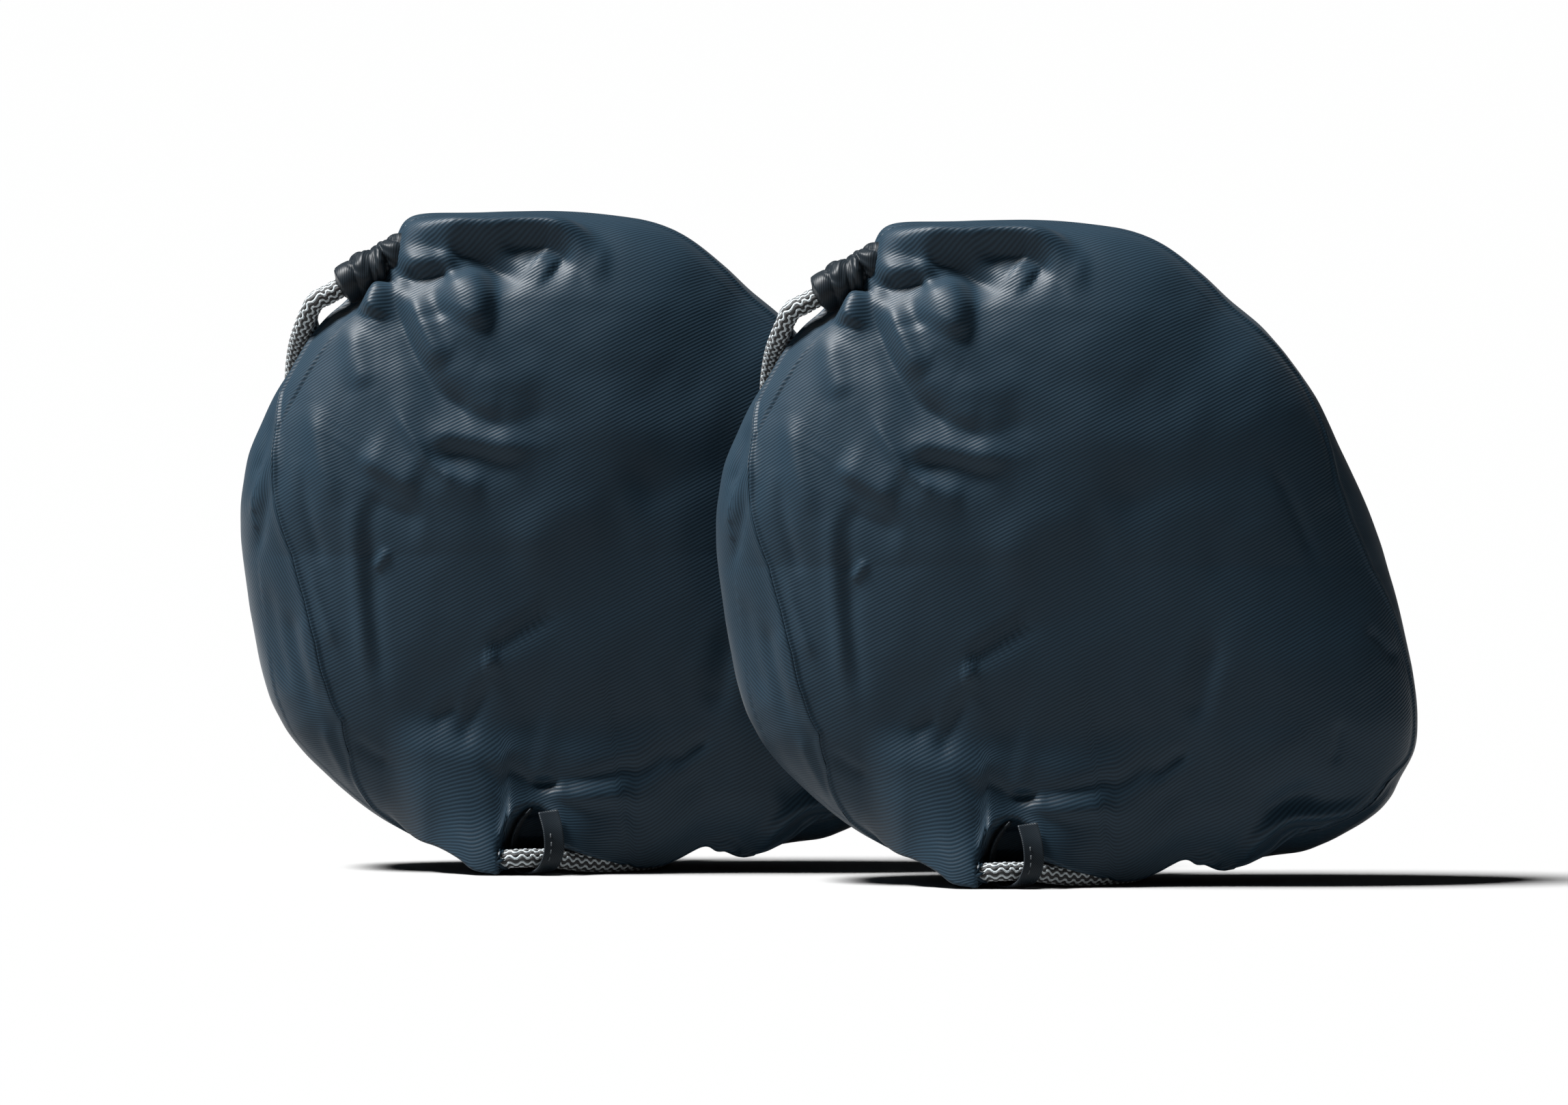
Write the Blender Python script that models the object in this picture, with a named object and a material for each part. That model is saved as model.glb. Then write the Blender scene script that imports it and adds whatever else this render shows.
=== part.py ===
"""Set of two drawstring wheel covers, standing side by side, one a little behind the other.

Each cover is two domed fabric panels sewn together round their edge. The sewn edge stays open at the
upper left, where two hem channels and a round drawcord gather the mouth shut. The drawcord leaves the
hems at their left ends, runs down behind the cover, and passes through a tape loop at the bottom.
Metres, +Z up, +X to the right, +Y to the back. The origin is the bottom centre of the whole set.
"""
import math

import bpy
from mathutils import Vector

# Places of the two covers
RIGHT_COVER_AT = Vector((0.1518, -0.06825, 0.0))
LEFT_COVER_AT = Vector((-0.1508, 0.08775, 0.0))

# Body of one cover
CENTRE = Vector((0.0, 0.0, 0.205))
HALF_DEPTH = 0.082
WALL = 0.0022
CROWN_POWER = 2.3
BASE_POWER = 3.4
BASE_TOP_Z = 0.200
FRONT_ROWS = 6
BACK_ROWS = 8

# Outline of the body seen from the front, from the left end of the mouth down and round to its
# right end. The middle of the base dips below the floor and is flattened onto it.
OUTLINE = [
    (-0.163, 0.347), (-0.189, 0.315), (-0.206, 0.282), (-0.220, 0.240), (-0.221, 0.212),
    (-0.213, 0.164), (-0.203, 0.117), (-0.186, 0.080), (-0.160, 0.054), (-0.128, 0.029),
    (-0.103, 0.018), (-0.082, 0.0150), (-0.056, 0.0145), (-0.045, -0.005), (-0.010, -0.006),
    (0.022, -0.005), (0.034, 0.0145), (0.062, 0.0150), (0.104, 0.016), (0.140, 0.019),
    (0.177, 0.033), (0.207, 0.064), (0.220, 0.096), (0.218, 0.131), (0.211, 0.165),
    (0.203, 0.198), (0.191, 0.231), (0.177, 0.262), (0.163, 0.293), (0.146, 0.322),
    (0.104, 0.366), (0.062, 0.401), (0.011, 0.417), (-0.031, 0.419), (-0.066, 0.415),
    (-0.087, 0.408), (-0.093, 0.393), (-0.100, 0.381),
]
MOUTH_FLOOR = [(-0.121, 0.3696), (-0.142, 0.3583)]
MOUTH_HALF_WIDTH = 0.0075

# Seam line: its depth at the middle of the cover, how it leans, and how it nears the mouth
SEAM_Y = -0.033
SEAM_LEAN_X = 0.055
SEAM_LEAN_Z = 0.030
SEAM_RADIUS = 0.0015
SEAM_HALF_GAP = 0.0026
SEAM_SINK = 0.0008
MOUTH_MIDDLE = Vector((-0.131, 0.364))
SEAM_FADE_START = 0.040
SEAM_FADE_LENGTH = 0.090

# Hem channels and the drawcord
CORD_RADIUS = 0.006
CORD_POINT_SPACING = 0.0175
CORD_BEVEL_RESOLUTION = 2
SEAM_BEVEL_RESOLUTION = 1
CORD_END_GAP = 0.0003
HEM_OUTER_RADIUS = 0.0095
HEM_INNER_RADIUS = 0.0066
HEM_SIDES = 12
HEM_HALF_SPREAD = 0.0155
HEM_LEFT = Vector((-0.1570, 0.0, 0.3690))
HEM_RIGHT = Vector((-0.1200, 0.0, 0.3900))
HEM_STRAIGHT_STEPS = 3
HEM_TURN_STEPS = 4
HEM_SPLIT_GAP = 0.00015

# Route of the drawcord outside the hems: out of the front hem, down behind the left edge, under the
# base, through the tape loop, back under the base and up the back to the back hem
DRAWCORD_ROUTE = [
    (-0.1573, -0.0155, 0.3688), (-0.1652, -0.0155, 0.3643), (-0.1730, -0.0150, 0.3598),
    (-0.1803, -0.0050, 0.3450), (-0.1850, 0.0170, 0.3285), (-0.1870, 0.0390, 0.3060),
    (-0.1850, 0.0545, 0.2780), (-0.1760, 0.0650, 0.2460), (-0.1635, 0.0715, 0.2130),
    (-0.1490, 0.0770, 0.1800), (-0.1335, 0.0810, 0.1460), (-0.1170, 0.0820, 0.1130),
    (-0.1015, 0.0800, 0.0820), (-0.0885, 0.0745, 0.0530), (-0.0775, 0.0620, 0.0280),
    (-0.0705, 0.0430, 0.0110), (-0.0685, 0.0200, 0.0062), (-0.0690, -0.0100, 0.0062),
    (-0.0700, -0.0400, 0.0062), (-0.0680, -0.0640, 0.0066), (-0.0600, -0.0835, 0.0085),
    (-0.0470, -0.0930, 0.0105), (-0.0330, -0.0910, 0.0108), (-0.0190, -0.0850, 0.0098),
    (0.0000, -0.0765, 0.0070), (0.0210, -0.0640, 0.0062), (0.0370, -0.0440, 0.0062),
    (0.0450, -0.0180, 0.0062), (0.0475, 0.0120, 0.0062), (0.0475, 0.0380, 0.0090),
    (0.0450, 0.0600, 0.0240), (0.0385, 0.0765, 0.0480), (0.0260, 0.0860, 0.0780),
    (0.0090, 0.0905, 0.1110), (-0.0110, 0.0915, 0.1440), (-0.0330, 0.0905, 0.1770),
    (-0.0560, 0.0890, 0.2090), (-0.0800, 0.0855, 0.2400), (-0.1040, 0.0800, 0.2690),
    (-0.1270, 0.0710, 0.2950), (-0.1460, 0.0590, 0.3140), (-0.1625, 0.0460, 0.3265),
    (-0.1740, 0.0330, 0.3370), (-0.1775, 0.0215, 0.3490), (-0.1730, 0.0158, 0.3598),
    (-0.1652, 0.0155, 0.3643), (-0.1573, 0.0155, 0.3688),
]

# Tape loop: points along the middle of the tape, each with the direction of its width
TAPE_WIDTH = 0.013
TAPE_THICKNESS = 0.0016
LOOP_PIVOT = Vector((-0.0300, -0.0830, 0.0425))
TAPE_ROUTE = [
    ((-0.0345, -0.0785, 0.0415), (0.15, 1.00, 0.0)), ((-0.0410, -0.0775, 0.0340), (0.18, 1.00, 0.0)),
    ((-0.0455, -0.0760, 0.0240), (0.22, 1.00, 0.0)), ((-0.0462, -0.0765, 0.0130), (0.30, 1.00, 0.0)),
    ((-0.0430, -0.0805, 0.0042), (0.48, 0.90, 0.0)), ((-0.0345, -0.0890, 0.0012), (0.70, 0.72, 0.0)),
    ((-0.0255, -0.0965, 0.0048), (0.88, 0.48, 0.0)), ((-0.0208, -0.0990, 0.0150), (0.97, 0.26, 0.0)),
    ((-0.0212, -0.0970, 0.0280), (0.98, 0.20, 0.0)), ((-0.0245, -0.0905, 0.0405), (0.98, 0.18, 0.0)),
]

FABRIC_COLOUR = (0.030, 0.045, 0.060)
HEM_COLOUR = (0.012, 0.016, 0.022)
CORD_COLOUR = (0.300, 0.330, 0.350)
TAPE_COLOUR = (0.014, 0.020, 0.027)
FABRIC_ROUGHNESS = 0.55
CORD_ROUGHNESS = 0.80


def clear_scene():
    """Remove every object of the start-up scene."""
    for obj in list(bpy.data.objects):
        bpy.data.objects.remove(obj, do_unlink=True)


def material(name, colour, roughness):
    """A plain Principled material."""
    made = bpy.data.materials.new(name)
    made.use_nodes = True
    shader = made.node_tree.nodes["Principled BSDF"]
    shader.inputs["Base Color"].default_value = (*colour, 1.0)
    shader.inputs["Roughness"].default_value = roughness
    shader.inputs["Metallic"].default_value = 0.0
    return made


def crown_power(z):
    """Power of the section curve: rounder at the crown, fuller where the cover slumps on the floor."""
    blend = min(max(z / BASE_TOP_Z, 0.0), 1.0)
    return BASE_POWER + (CROWN_POWER - BASE_POWER) * blend


def surface_point(rim, y):
    """Point of the body at depth y, on the section through one (x, z) point of the outline."""
    power = crown_power(rim[1])
    scale = (1.0 - min(abs(y) / HALF_DEPTH, 1.0) ** power) ** (1.0 / power)
    edge = Vector((rim[0], 0.0, rim[1]))
    point = CENTRE + (edge - CENTRE) * scale
    return Vector((point.x, y, max(point.z, 0.0)))


def seam_depth(rim):
    """Depth of the seam line at one (x, z) point of the outline."""
    depth = SEAM_Y + SEAM_LEAN_X * rim[0] + SEAM_LEAN_Z * (rim[1] - CENTRE.z)
    fade = ((Vector(rim) - MOUTH_MIDDLE).length - SEAM_FADE_START) / SEAM_FADE_LENGTH
    return depth * min(max(fade, 0.0), 1.0)


def panel_columns(side):
    """The outline points of a panel, each with the depth of the panel's edge there."""
    columns = [(rim, seam_depth(rim) + side * SEAM_HALF_GAP) for rim in OUTLINE]
    columns += [(rim, side * MOUTH_HALF_WIDTH) for rim in MOUTH_FLOOR]
    return columns


def add_mesh_object(name, vertices, faces, mat):
    """A smooth-shaded mesh object from points and faces."""
    mesh = bpy.data.meshes.new(name)
    mesh.from_pydata([tuple(v) for v in vertices], [], faces)
    mesh.shade_smooth()
    mesh.set_sharp_from_angle(angle=math.radians(40))
    mesh.materials.append(mat)
    obj = bpy.data.objects.new(name, mesh)
    bpy.context.collection.objects.link(obj)
    return obj


def build_panel(name, side, rows, mat):
    """One domed panel: a loft from the seam line to its crown. side is -1 in front, +1 at the back."""
    vertices = []
    columns = panel_columns(side)
    for rim, edge_y in columns:
        start = math.asin(side * edge_y / HALF_DEPTH)
        for row in range(rows):
            angle = start + (math.pi / 2 - start) * row / rows
            vertices.append(surface_point(rim, side * HALF_DEPTH * math.sin(angle)))
    crown = len(vertices)
    vertices.append(CENTRE + Vector((0.0, side * HALF_DEPTH, 0.0)))
    faces = []
    count = len(columns)
    for column in range(count):
        here = column * rows
        after = ((column + 1) % count) * rows
        for row in range(rows - 1):
            faces.append((here + row, after + row, after + row + 1, here + row + 1))
        faces.append((here + rows - 1, after + rows - 1, crown))
    if side > 0:
        faces = [face[::-1] for face in faces]
    panel = add_mesh_object(name, vertices, faces, mat)
    solidify = panel.modifiers.new("Wall", "SOLIDIFY")
    solidify.thickness = WALL
    solidify.offset = -1.0
    return panel


def smooth_route(points, spacing):
    """Points about one spacing apart along a smooth curve through the given points."""
    knots = [Vector(p) for p in points]
    knots = [knots[0] * 2 - knots[1]] + knots + [knots[-1] * 2 - knots[-2]]
    fine = []
    substeps = 24
    for i in range(1, len(knots) - 2):
        before, a, b, after = knots[i - 1], knots[i], knots[i + 1], knots[i + 2]
        for step in range(substeps):
            t = step / substeps
            fine.append(0.5 * (
                2 * a + (b - before) * t
                + (2 * before - 5 * a + 4 * b - after) * t ** 2
                + (3 * a - before - 3 * b + after) * t ** 3
            ))
    fine.append(knots[-2])
    lengths = [0.0]
    for a, b in zip(fine, fine[1:]):
        lengths.append(lengths[-1] + (b - a).length)
    count = max(round(lengths[-1] / spacing), 1)
    route = []
    i = 0
    for k in range(count + 1):
        target = lengths[-1] * k / count
        while i < len(fine) - 2 and lengths[i + 1] < target:
            i += 1
        span = lengths[i + 1] - lengths[i]
        route.append(fine[i].lerp(fine[i + 1], (target - lengths[i]) / span))
    return route


def build_tube(name, points, radius, resolution, mat):
    """A round tube with filled ends along a list of points."""
    curve = bpy.data.curves.new(name, "CURVE")
    curve.dimensions = "3D"
    curve.bevel_depth = radius
    curve.bevel_resolution = resolution
    curve.use_fill_caps = True
    spline = curve.splines.new("POLY")
    spline.points.add(len(points) - 1)
    for spline_point, point in zip(spline.points, points):
        spline_point.co = (*point, 1.0)
    curve.materials.append(mat)
    obj = bpy.data.objects.new(name, curve)
    bpy.context.collection.objects.link(obj)
    return obj


def build_seam(name, mat):
    """The sewn seam between the panels, from one end of the mouth round to the other."""
    points = []
    for rim in OUTLINE:
        point = surface_point(rim, seam_depth(rim))
        inward = (CENTRE - point).normalized()
        points.append(point + inward * SEAM_SINK)
    lifted = [Vector((p.x, p.y, max(p.z, SEAM_RADIUS + SEAM_SINK))) for p in points]
    return build_tube(name, lifted, SEAM_RADIUS, SEAM_BEVEL_RESOLUTION, mat)


def hem_path(side):
    """Centre line of one hem channel: straight along the mouth, then half of the turn at its right."""
    along = (HEM_RIGHT - HEM_LEFT).normalized()
    across = Vector((0.0, side, 0.0))
    points = []
    for step in range(HEM_STRAIGHT_STEPS):
        points.append(HEM_LEFT.lerp(HEM_RIGHT, step / HEM_STRAIGHT_STEPS) + across * HEM_HALF_SPREAD)
    for step in range(HEM_TURN_STEPS + 1):
        angle = math.pi / 2 * step / HEM_TURN_STEPS
        turn = along * math.sin(angle) + across * math.cos(angle)
        points.append(HEM_RIGHT + turn * HEM_HALF_SPREAD)
    points[-1] = points[-1] + across * HEM_SPLIT_GAP
    return points


def build_hem(name, side, mat):
    """One hem channel: a hollow tube, open at both ends, that the drawcord runs through."""
    path = hem_path(side)
    upright = (HEM_RIGHT - HEM_LEFT).normalized().cross(Vector((0.0, 1.0, 0.0)))
    rings = []
    for i, point in enumerate(path):
        before = path[max(i - 1, 0)]
        after = path[min(i + 1, len(path) - 1)]
        tangent = (after - before).normalized()
        if i == len(path) - 1:
            tangent = Vector((0.0, -side, 0.0))
        sideways = tangent.cross(upright)
        rings.append((point, sideways, upright))
    vertices = []
    for radius in (HEM_OUTER_RADIUS, HEM_INNER_RADIUS):
        for point, sideways, up in rings:
            for k in range(HEM_SIDES):
                angle = 2 * math.pi * k / HEM_SIDES
                vertices.append(point + sideways * radius * math.cos(angle) + up * radius * math.sin(angle))
    faces = []
    inner = len(rings) * HEM_SIDES
    for i in range(len(rings) - 1):
        for k in range(HEM_SIDES):
            a = i * HEM_SIDES + k
            b = i * HEM_SIDES + (k + 1) % HEM_SIDES
            faces.append((a, a + HEM_SIDES, b + HEM_SIDES, b))
            faces.append((inner + a, inner + b, inner + b + HEM_SIDES, inner + a + HEM_SIDES))
    last = (len(rings) - 1) * HEM_SIDES
    for k in range(HEM_SIDES):
        after = (k + 1) % HEM_SIDES
        faces.append((k, after, inner + after, inner + k))
        faces.append((last + k, inner + last + k, inner + last + after, last + after))
    hem = add_mesh_object(name, vertices, faces, mat)
    return hem


def channel_cord_points():
    """The drawcord inside the hems: along the front hem, round the turn and back along the rear hem."""
    front = hem_path(-1)
    back = hem_path(1)
    front[-1].y = 0.0
    points = front + back[-2::-1]
    along = (HEM_RIGHT - HEM_LEFT).normalized()
    points[0] = points[0] + along * CORD_END_GAP
    points[-1] = points[-1] + along * CORD_END_GAP
    return points


def build_tape_loop(name, mat):
    """The folded tape loop: a flat band swept along its route, hung from its sewn upper ends."""
    route = [Vector(point) - LOOP_PIVOT for point, width in TAPE_ROUTE]
    vertices = []
    for i, point in enumerate(route):
        before = route[max(i - 1, 0)]
        after = route[min(i + 1, len(route) - 1)]
        tangent = (after - before).normalized()
        width = Vector(TAPE_ROUTE[i][1])
        width = (width - tangent * width.dot(tangent)).normalized()
        normal = tangent.cross(width)
        for a, b in ((-1, -1), (1, -1), (1, 1), (-1, 1)):
            vertices.append(point + width * a * TAPE_WIDTH / 2 + normal * b * TAPE_THICKNESS / 2)
    faces = [(3, 2, 1, 0)]
    for i in range(len(route) - 1):
        for k in range(4):
            a = 4 * i + k
            b = 4 * i + (k + 1) % 4
            faces.append((a, b, b + 4, a + 4))
    end = 4 * (len(route) - 1)
    faces.append((end, end + 1, end + 2, end + 3))
    return add_mesh_object(name, vertices, faces, mat)


def build_cover(prefix, place, mats):
    """One complete cover. All its pieces hang on an empty at the cover's own bottom centre."""
    anchor = bpy.data.objects.new(f"{prefix}_cover_anchor", None)
    bpy.context.collection.objects.link(anchor)
    anchor.location = place
    pieces = [
        build_panel(f"{prefix}_front_panel", -1, FRONT_ROWS, mats["front"]),
        build_panel(f"{prefix}_back_panel", 1, BACK_ROWS, mats["back"]),
        build_seam(f"{prefix}_seam", mats["seam"]),
        build_hem(f"{prefix}_front_hem", -1, mats["hem"]),
        build_hem(f"{prefix}_back_hem", 1, mats["hem"]),
        build_tube(
            f"{prefix}_channel_cord", channel_cord_points(), CORD_RADIUS, CORD_BEVEL_RESOLUTION, mats["cord"]
        ),
        build_tube(
            f"{prefix}_drawcord",
            smooth_route(DRAWCORD_ROUTE, CORD_POINT_SPACING),
            CORD_RADIUS,
            CORD_BEVEL_RESOLUTION,
            mats["cord"],
        ),
    ]
    loop = build_tape_loop(f"{prefix}_cord_loop", mats["tape"])
    loop.location = LOOP_PIVOT
    pieces.append(loop)
    for piece in pieces:
        piece.parent = anchor


def main():
    clear_scene()
    mats = {
        "front": material("front_panel_fabric", FABRIC_COLOUR, FABRIC_ROUGHNESS),
        "back": material("back_panel_fabric", FABRIC_COLOUR, FABRIC_ROUGHNESS),
        "seam": material("seam_fabric", HEM_COLOUR, FABRIC_ROUGHNESS),
        "hem": material("hem_fabric", HEM_COLOUR, FABRIC_ROUGHNESS),
        "cord": material("drawcord", CORD_COLOUR, CORD_ROUGHNESS),
        "tape": material("loop_tape", TAPE_COLOUR, FABRIC_ROUGHNESS),
    }
    build_cover("right", RIGHT_COVER_AT, mats)
    build_cover("left", LEFT_COVER_AT, mats)


main()
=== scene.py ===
"""Looks of the wheel cover set: gathered satin-twill covers, braided drawcords and tape loops."""
import math

import bpy
import numpy as np
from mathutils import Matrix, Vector, noise


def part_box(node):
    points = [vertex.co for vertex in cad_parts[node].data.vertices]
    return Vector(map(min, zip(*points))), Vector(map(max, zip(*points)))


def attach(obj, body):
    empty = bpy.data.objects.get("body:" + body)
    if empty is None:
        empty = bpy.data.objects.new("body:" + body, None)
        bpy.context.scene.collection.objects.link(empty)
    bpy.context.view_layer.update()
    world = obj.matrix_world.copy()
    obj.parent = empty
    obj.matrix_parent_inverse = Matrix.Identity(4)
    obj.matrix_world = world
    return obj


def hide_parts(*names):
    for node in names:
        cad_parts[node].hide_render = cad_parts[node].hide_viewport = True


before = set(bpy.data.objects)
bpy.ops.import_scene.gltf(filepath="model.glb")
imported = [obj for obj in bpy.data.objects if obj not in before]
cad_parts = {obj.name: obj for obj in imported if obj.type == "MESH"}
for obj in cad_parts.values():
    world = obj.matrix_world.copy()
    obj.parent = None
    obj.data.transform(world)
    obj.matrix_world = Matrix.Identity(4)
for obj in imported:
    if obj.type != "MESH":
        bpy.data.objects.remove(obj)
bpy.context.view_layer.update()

SIDES = ("right", "left")

# Body of one cover, in the cover's own frame: x right, y back, z up, origin on the floor
CENTRE = np.array((0.0, 0.0, 0.205))
HALF_DEPTH = 0.082
# From the middle of a cover to the left side of its CAD back panel
CAD_LEFT_REACH = 0.221
# Power of the section from front to back: 2 is an ellipse, and more is squarer. It changes from the
# base's to the crown's by the height BASE_TOP_Z
CROWN_POWER = 2.3
BASE_POWER = 3.4
BASE_TOP_Z = 0.200
PANEL_GRID = 230
FABRIC_THICKNESS = 0.0008
FLOOR_CLEARANCE = 0.0006
# The cloth below this height may lie over the drawcord
BASE_HEIGHT = 0.060

# Outline of a cover from the front, as (x, z), round from the left end of the hem
OUTLINE = [
    (-0.1540, 0.3590), (-0.1720, 0.3410), (-0.1890, 0.3150), (-0.2060, 0.2820), (-0.2160, 0.2600),
    (-0.2205, 0.2360), (-0.2195, 0.2100), (-0.2130, 0.1640), (-0.2040, 0.1170), (-0.1960, 0.0960),
    (-0.1850, 0.0790), (-0.1600, 0.0550), (-0.1280, 0.0310), (-0.1030, 0.0180), (-0.0820, 0.0150),
    (-0.0560, 0.0140), (-0.0450, 0.0030), (-0.0100, 0.0010), (0.0220, 0.0030), (0.0340, 0.0140),
    (0.0620, 0.0150), (0.0800, 0.0165), (0.0950, 0.0135), (0.1090, 0.0130), (0.1280, 0.0170),
    (0.1530, 0.0210), (0.1770, 0.0320), (0.1980, 0.0470), (0.2110, 0.0680), (0.2190, 0.0850),
    (0.2205, 0.1050), (0.2180, 0.1310), (0.2120, 0.1620), (0.2030, 0.1980), (0.1890, 0.2350),
    (0.1770, 0.2620), (0.1620, 0.2950), (0.1460, 0.3220), (0.1280, 0.3460), (0.1040, 0.3660),
    (0.0860, 0.3830), (0.0620, 0.4010), (0.0340, 0.4120), (0.0110, 0.4165), (-0.0200, 0.4185),
    (-0.0500, 0.4165), (-0.0690, 0.4140), (-0.0980, 0.4130), (-0.1090, 0.4090), (-0.1170, 0.3990),
    (-0.1260, 0.3850), (-0.1420, 0.3700),
]

# Seam between the panels: angle round the cover's middle in degrees, and the seam's y, which is below
# zero in front of the middle
SEAM_COURSE = [
    (-50, -0.050), (-40, -0.043), (-35, -0.038), (-30, -0.026), (-18, -0.023), (-11, -0.026), (-2, -0.033),
    (8, -0.035), (16, -0.033), (27, -0.023), (38, -0.017), (50, -0.020), (65, -0.016), (80, -0.010),
    (105, -0.008), (118, -0.005), (128, 0.000), (134, -0.006), (145, -0.012), (153, -0.017),
    (158, -0.028), (165, -0.038), (174, -0.045), (183, -0.050), (190, -0.054), (199, -0.058), (207, -0.060),
    (215, -0.060), (221, -0.054), (226, -0.044), (231, -0.034), (245, -0.030), (270, -0.034), (295, -0.040),
]
SEAM_GROOVE_DEPTH = 0.0016
SEAM_GROOVE_WIDTH = 0.0035
SEAM_RADIUS = 0.0011
SEAM_STEPS = 1400
SEAM_SIDES = 8
SEAM_CLOTH_STEP = 0.001
# Share of its radius by which the welt sinks into the groove
SEAM_SINK = 0.4

# Hem channels and the drawcord, as the CAD holds them
CORD_RADIUS = 0.006
CORD_GAP = 0.0016
HEM_HALF_SPREAD = 0.0155
HEM_LEFT = np.array((-0.1570, 0.0, 0.3690))
HEM_RIGHT = np.array((-0.1200, 0.0, 0.3900))
DRAWCORD_ROUTE = [
    (-0.1573, -0.0155, 0.3688), (-0.1652, -0.0155, 0.3643), (-0.1730, -0.0150, 0.3598),
    (-0.1803, -0.0050, 0.3450), (-0.1850, 0.0170, 0.3285), (-0.1870, 0.0390, 0.3060),
    (-0.1850, 0.0545, 0.2780), (-0.1760, 0.0650, 0.2460), (-0.1635, 0.0715, 0.2130),
    (-0.1490, 0.0770, 0.1800), (-0.1335, 0.0810, 0.1460), (-0.1170, 0.0820, 0.1130),
    (-0.1015, 0.0800, 0.0820), (-0.0885, 0.0745, 0.0530), (-0.0775, 0.0620, 0.0280),
    (-0.0705, 0.0430, 0.0110), (-0.0685, 0.0200, 0.0062), (-0.0690, -0.0100, 0.0062),
    (-0.0700, -0.0400, 0.0062), (-0.0680, -0.0640, 0.0066), (-0.0600, -0.0835, 0.0085),
    (-0.0470, -0.0930, 0.0105), (-0.0330, -0.0910, 0.0108), (-0.0190, -0.0850, 0.0098),
    (0.0000, -0.0765, 0.0070), (0.0210, -0.0640, 0.0062), (0.0370, -0.0440, 0.0062),
    (0.0450, -0.0180, 0.0062), (0.0475, 0.0120, 0.0062), (0.0475, 0.0380, 0.0090),
    (0.0450, 0.0600, 0.0240), (0.0385, 0.0765, 0.0480), (0.0260, 0.0860, 0.0780),
    (0.0090, 0.0905, 0.1110), (-0.0110, 0.0915, 0.1440), (-0.0330, 0.0905, 0.1770),
    (-0.0560, 0.0890, 0.2090), (-0.0800, 0.0855, 0.2400), (-0.1040, 0.0800, 0.2690),
    (-0.1270, 0.0710, 0.2950), (-0.1460, 0.0590, 0.3140), (-0.1625, 0.0460, 0.3265),
    (-0.1740, 0.0330, 0.3370), (-0.1775, 0.0215, 0.3490), (-0.1730, 0.0158, 0.3598),
    (-0.1652, 0.0155, 0.3643), (-0.1573, 0.0155, 0.3688),
]
TAPE_WIDTH = 0.013
TAPE_THICKNESS = 0.0015
# Course of the tape: a point, and the direction of the tape's width there
TAPE_ROUTE = [
    ((-0.0345, -0.0785, 0.0415), (0.15, 1.00, 0.0)), ((-0.0410, -0.0775, 0.0340), (0.18, 1.00, 0.0)),
    ((-0.0455, -0.0760, 0.0240), (0.22, 1.00, 0.0)), ((-0.0462, -0.0765, 0.0130), (0.30, 1.00, 0.0)),
    ((-0.0430, -0.0805, 0.0042), (0.48, 0.90, 0.0)), ((-0.0345, -0.0890, 0.0012), (0.70, 0.72, 0.0)),
    ((-0.0255, -0.0965, 0.0048), (0.88, 0.48, 0.0)), ((-0.0208, -0.0990, 0.0150), (0.97, 0.26, 0.0)),
    ((-0.0212, -0.0970, 0.0280), (0.98, 0.20, 0.0)), ((-0.0245, -0.0905, 0.0405), (0.98, 0.18, 0.0)),
]

# Lower edge of the front, where it hangs over the drawcord: (x, y, z) of the lip
LIP = [
    (-0.1300, -0.0500, 0.0340), (-0.1150, -0.0600, 0.0215), (-0.0950, -0.0760, 0.0180),
    (-0.0820, -0.0880, 0.0120), (-0.0720, -0.0955, 0.0045), (-0.0620, -0.0985, 0.0020),
    (-0.0545, -0.0985, 0.0020), (-0.0500, -0.0970, 0.0190), (-0.0450, -0.0940, 0.0215),
    (-0.0300, -0.0920, 0.0215), (-0.0180, -0.0920, 0.0205), (-0.0120, -0.0915, 0.0170),
    (0.0000, -0.0870, 0.0120), (0.0140, -0.0790, 0.0070), (0.0260, -0.0710, 0.0030),
    (0.0360, -0.0660, 0.0015), (0.0480, -0.0630, 0.0035), (0.0600, -0.0610, 0.0090),
    (0.0740, -0.0590, 0.0165), (0.0860, -0.0570, 0.0160), (0.0980, -0.0540, 0.0120),
    (0.1120, -0.0510, 0.0125), (0.1300, -0.0480, 0.0180), (0.1550, -0.0440, 0.0260),
]
# Where the cloth higher up hangs: (x, y), nearly straight down from the front
HANG = [(-0.1300, -0.0560), (-0.0950, -0.0800), (-0.0650, -0.0900), (-0.0450, -0.0830), (-0.0300, -0.0795),
        (-0.0140, -0.0830), (0.0050, -0.0850), (0.0400, -0.0760), (0.0860, -0.0680), (0.1550, -0.0520)]
# Share of the way down from which the cloth turns from hanging to the lip's own depth
HANG_LOW_START = 0.55
# Hollow behind the tape loop, narrowing to its sewn top
HOLLOW_TOP = np.array((-0.0310, 0.0460))
HOLLOW_LEFT = -0.0550
HOLLOW_RIGHT = -0.0150
HOLLOW_EDGE = 0.0040
HOLLOW_SOFTENING = 0.0080
HOLLOW_DEPTH = 0.034
# The lip starts at LIP_TOP, as (y, z). Depths are shares of HALF_DEPTH: the lip's own, and where the
# cloth tucked under it is back in place. LIP_FADE is how far the lip takes to come in at its ends
LIP_TOP = np.array((-0.0805, 0.105))
LIP_DEPTH = 0.53
LIP_END_DEPTH = 0.445
LIP_FADE = 0.030

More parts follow.
